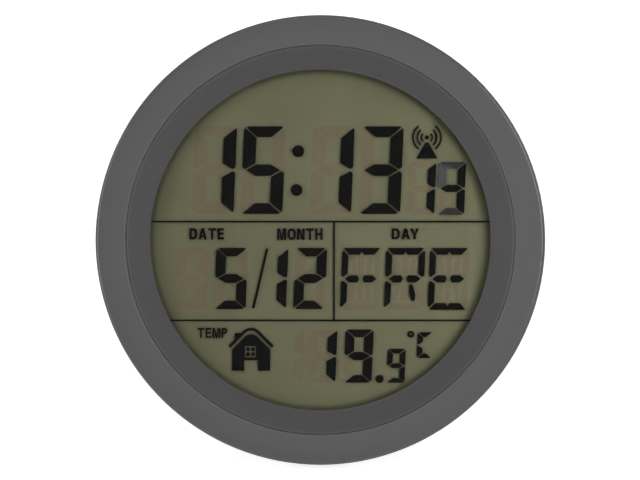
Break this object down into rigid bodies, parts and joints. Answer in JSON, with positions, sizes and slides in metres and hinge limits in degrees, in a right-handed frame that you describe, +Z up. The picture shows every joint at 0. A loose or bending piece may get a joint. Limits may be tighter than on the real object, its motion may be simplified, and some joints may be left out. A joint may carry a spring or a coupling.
{
  "type": "radio-controlled bathroom clock",
  "caption": "Round wall and table clock with a liquid crystal display behind a sloped bezel, suction cups on its back and a fold-out stand.",
  "frame": {"origin": "on the table, under the middle of the whole clock with its stand folded out", "axes": "+Z up; +Y backwards, away from the viewer; +X to the viewer's right; the face leans back by 12 degrees"},
  "size_m": [0.17, 0.0706, 0.1682],
  "materials": {
    "ring_plastic": "fine satin texture, anthracite",
    "bezel_plastic": "matte, dark anthracite",
    "housing_plastic": "fine matte texture, dark anthracite",
    "button_plastic": "satin grey",
    "window_acrylic": "clear and polished",
    "display_glass": "clear and polished",
    "polariser_film": "clear film with a slight grey-green tint",
    "dark_segments": "opaque black",
    "fading_segments": "opaque dark grey",
    "unlit_segments": "barely visible brownish tint",
    "reflector_film": "matte olive grey",
    "white_plastic": "matte off-white",
    "zebra_rubber": "soft, striped pink and black",
    "black_foam": "thin adhesive foam",
    "circuit_board": "green solder mask",
    "black_resin": "glossy black drop",
    "component_ceramic": "matte tan",
    "ferrite": "dull grey-black",
    "copper_wire": "enamelled copper",
    "silicone": "soft matte grey",
    "carbon_rubber": "matte black",
    "clear_vinyl": "clear and slightly milky, soft",
    "plated_steel": "zinc plated",
    "contact_metal": "nickel plated spring steel",
    "cell_jacket": "plain glossy wrap without print"
  },
  "bodies": {
    "case": {"trim_ring": "ring_plastic", "front_housing": "bezel_plastic", "window_lens": "window_acrylic", "lens_gasket": "black_foam", "lcd_front_polariser": "polariser_film", "lcd_front_glass": "display_glass", "lcd_segments": "dark_segments", "lcd_fading_segments": "fading_segments", "lcd_unlit_segments": "unlit_segments", "lcd_rear_glass": "display_glass", "lcd_reflector": "reflector_film", "lcd_holder": "white_plastic", "zebra_strip": "zebra_rubber", "main_board": "circuit_board", "chip_blob": "black_resin", "quartz_crystal": "plated_steel", "board_components": "component_ceramic", "thermistor": "black_resin", "receiver_board": "circuit_board", "ferrite_rod": "ferrite", "antenna_coil": "copper_wire", "antenna_holder": "white_plastic", "antenna_leads": "copper_wire", "board_screws": "plated_steel", "key_mat": "silicone", "rear_housing": "housing_plastic", "housing_seal": "silicone", "housing_screws": "plated_steel", "battery_cell_1": "cell_jacket", "battery_cell_2": "cell_jacket", "battery_springs": "contact_metal", "battery_plates": "contact_metal", "key_web_1": "silicone", "suction_cup_1": "clear_vinyl", "key_web_2": "silicone", "suction_cup_2": "clear_vinyl", "key_web_3": "silicone", "suction_cup_3": "clear_vinyl", "key_web_4": "silicone", "suction_cup_4": "clear_vinyl"},
    "stand": {"stand": "housing_plastic"},
    "battery_door": {"battery_door": "housing_plastic", "door_gasket": "silicone", "door_screws": "plated_steel"},
    "button_1": {"button_1": "button_plastic", "key_pad_1": "silicone", "contact_pill_1": "carbon_rubber"},
    "button_2": {"button_2": "button_plastic", "key_pad_2": "silicone", "contact_pill_2": "carbon_rubber"},
    "button_3": {"button_3": "button_plastic", "key_pad_3": "silicone", "contact_pill_3": "carbon_rubber"},
    "button_4": {"button_4": "button_plastic", "key_pad_4": "silicone", "contact_pill_4": "carbon_rubber"}
  },
  "joints": [
    {"name": "stand_fold", "type": "hinge", "parent": "case", "child": "stand", "pos_m": [0, -0.00439, 0.02106], "axis": [1, 0, 0], "range_deg": [0, 104]},
    {"name": "battery_door_lift", "type": "slide", "parent": "case", "child": "battery_door", "axis": [0, 0.9781, -0.2079], "range_m": [0, 0.03]},
    {"name": "button_1_press", "type": "slide", "parent": "case", "child": "button_1", "axis": [0, -0.9781, 0.2079], "range_m": [0, 0.0009], "stiffness_N_per_m": 900, "springref_m": -0.0004, "deforming": ["key_web_1"]},
    {"name": "button_2_press", "type": "slide", "parent": "case", "child": "button_2", "axis": [0, -0.9781, 0.2079], "range_m": [0, 0.0009], "stiffness_N_per_m": 900, "springref_m": -0.0004, "deforming": ["key_web_2"]},
    {"name": "button_3_press", "type": "slide", "parent": "case", "child": "button_3", "axis": [0, -0.9781, 0.2079], "range_m": [0, 0.0009], "stiffness_N_per_m": 900, "springref_m": -0.0004, "deforming": ["key_web_3"]},
    {"name": "button_4_press", "type": "slide", "parent": "case", "child": "button_4", "axis": [0, -0.9781, 0.2079], "range_m": [0, 0.0009], "stiffness_N_per_m": 900, "springref_m": -0.0004, "deforming": ["key_web_4"]}
  ]
}
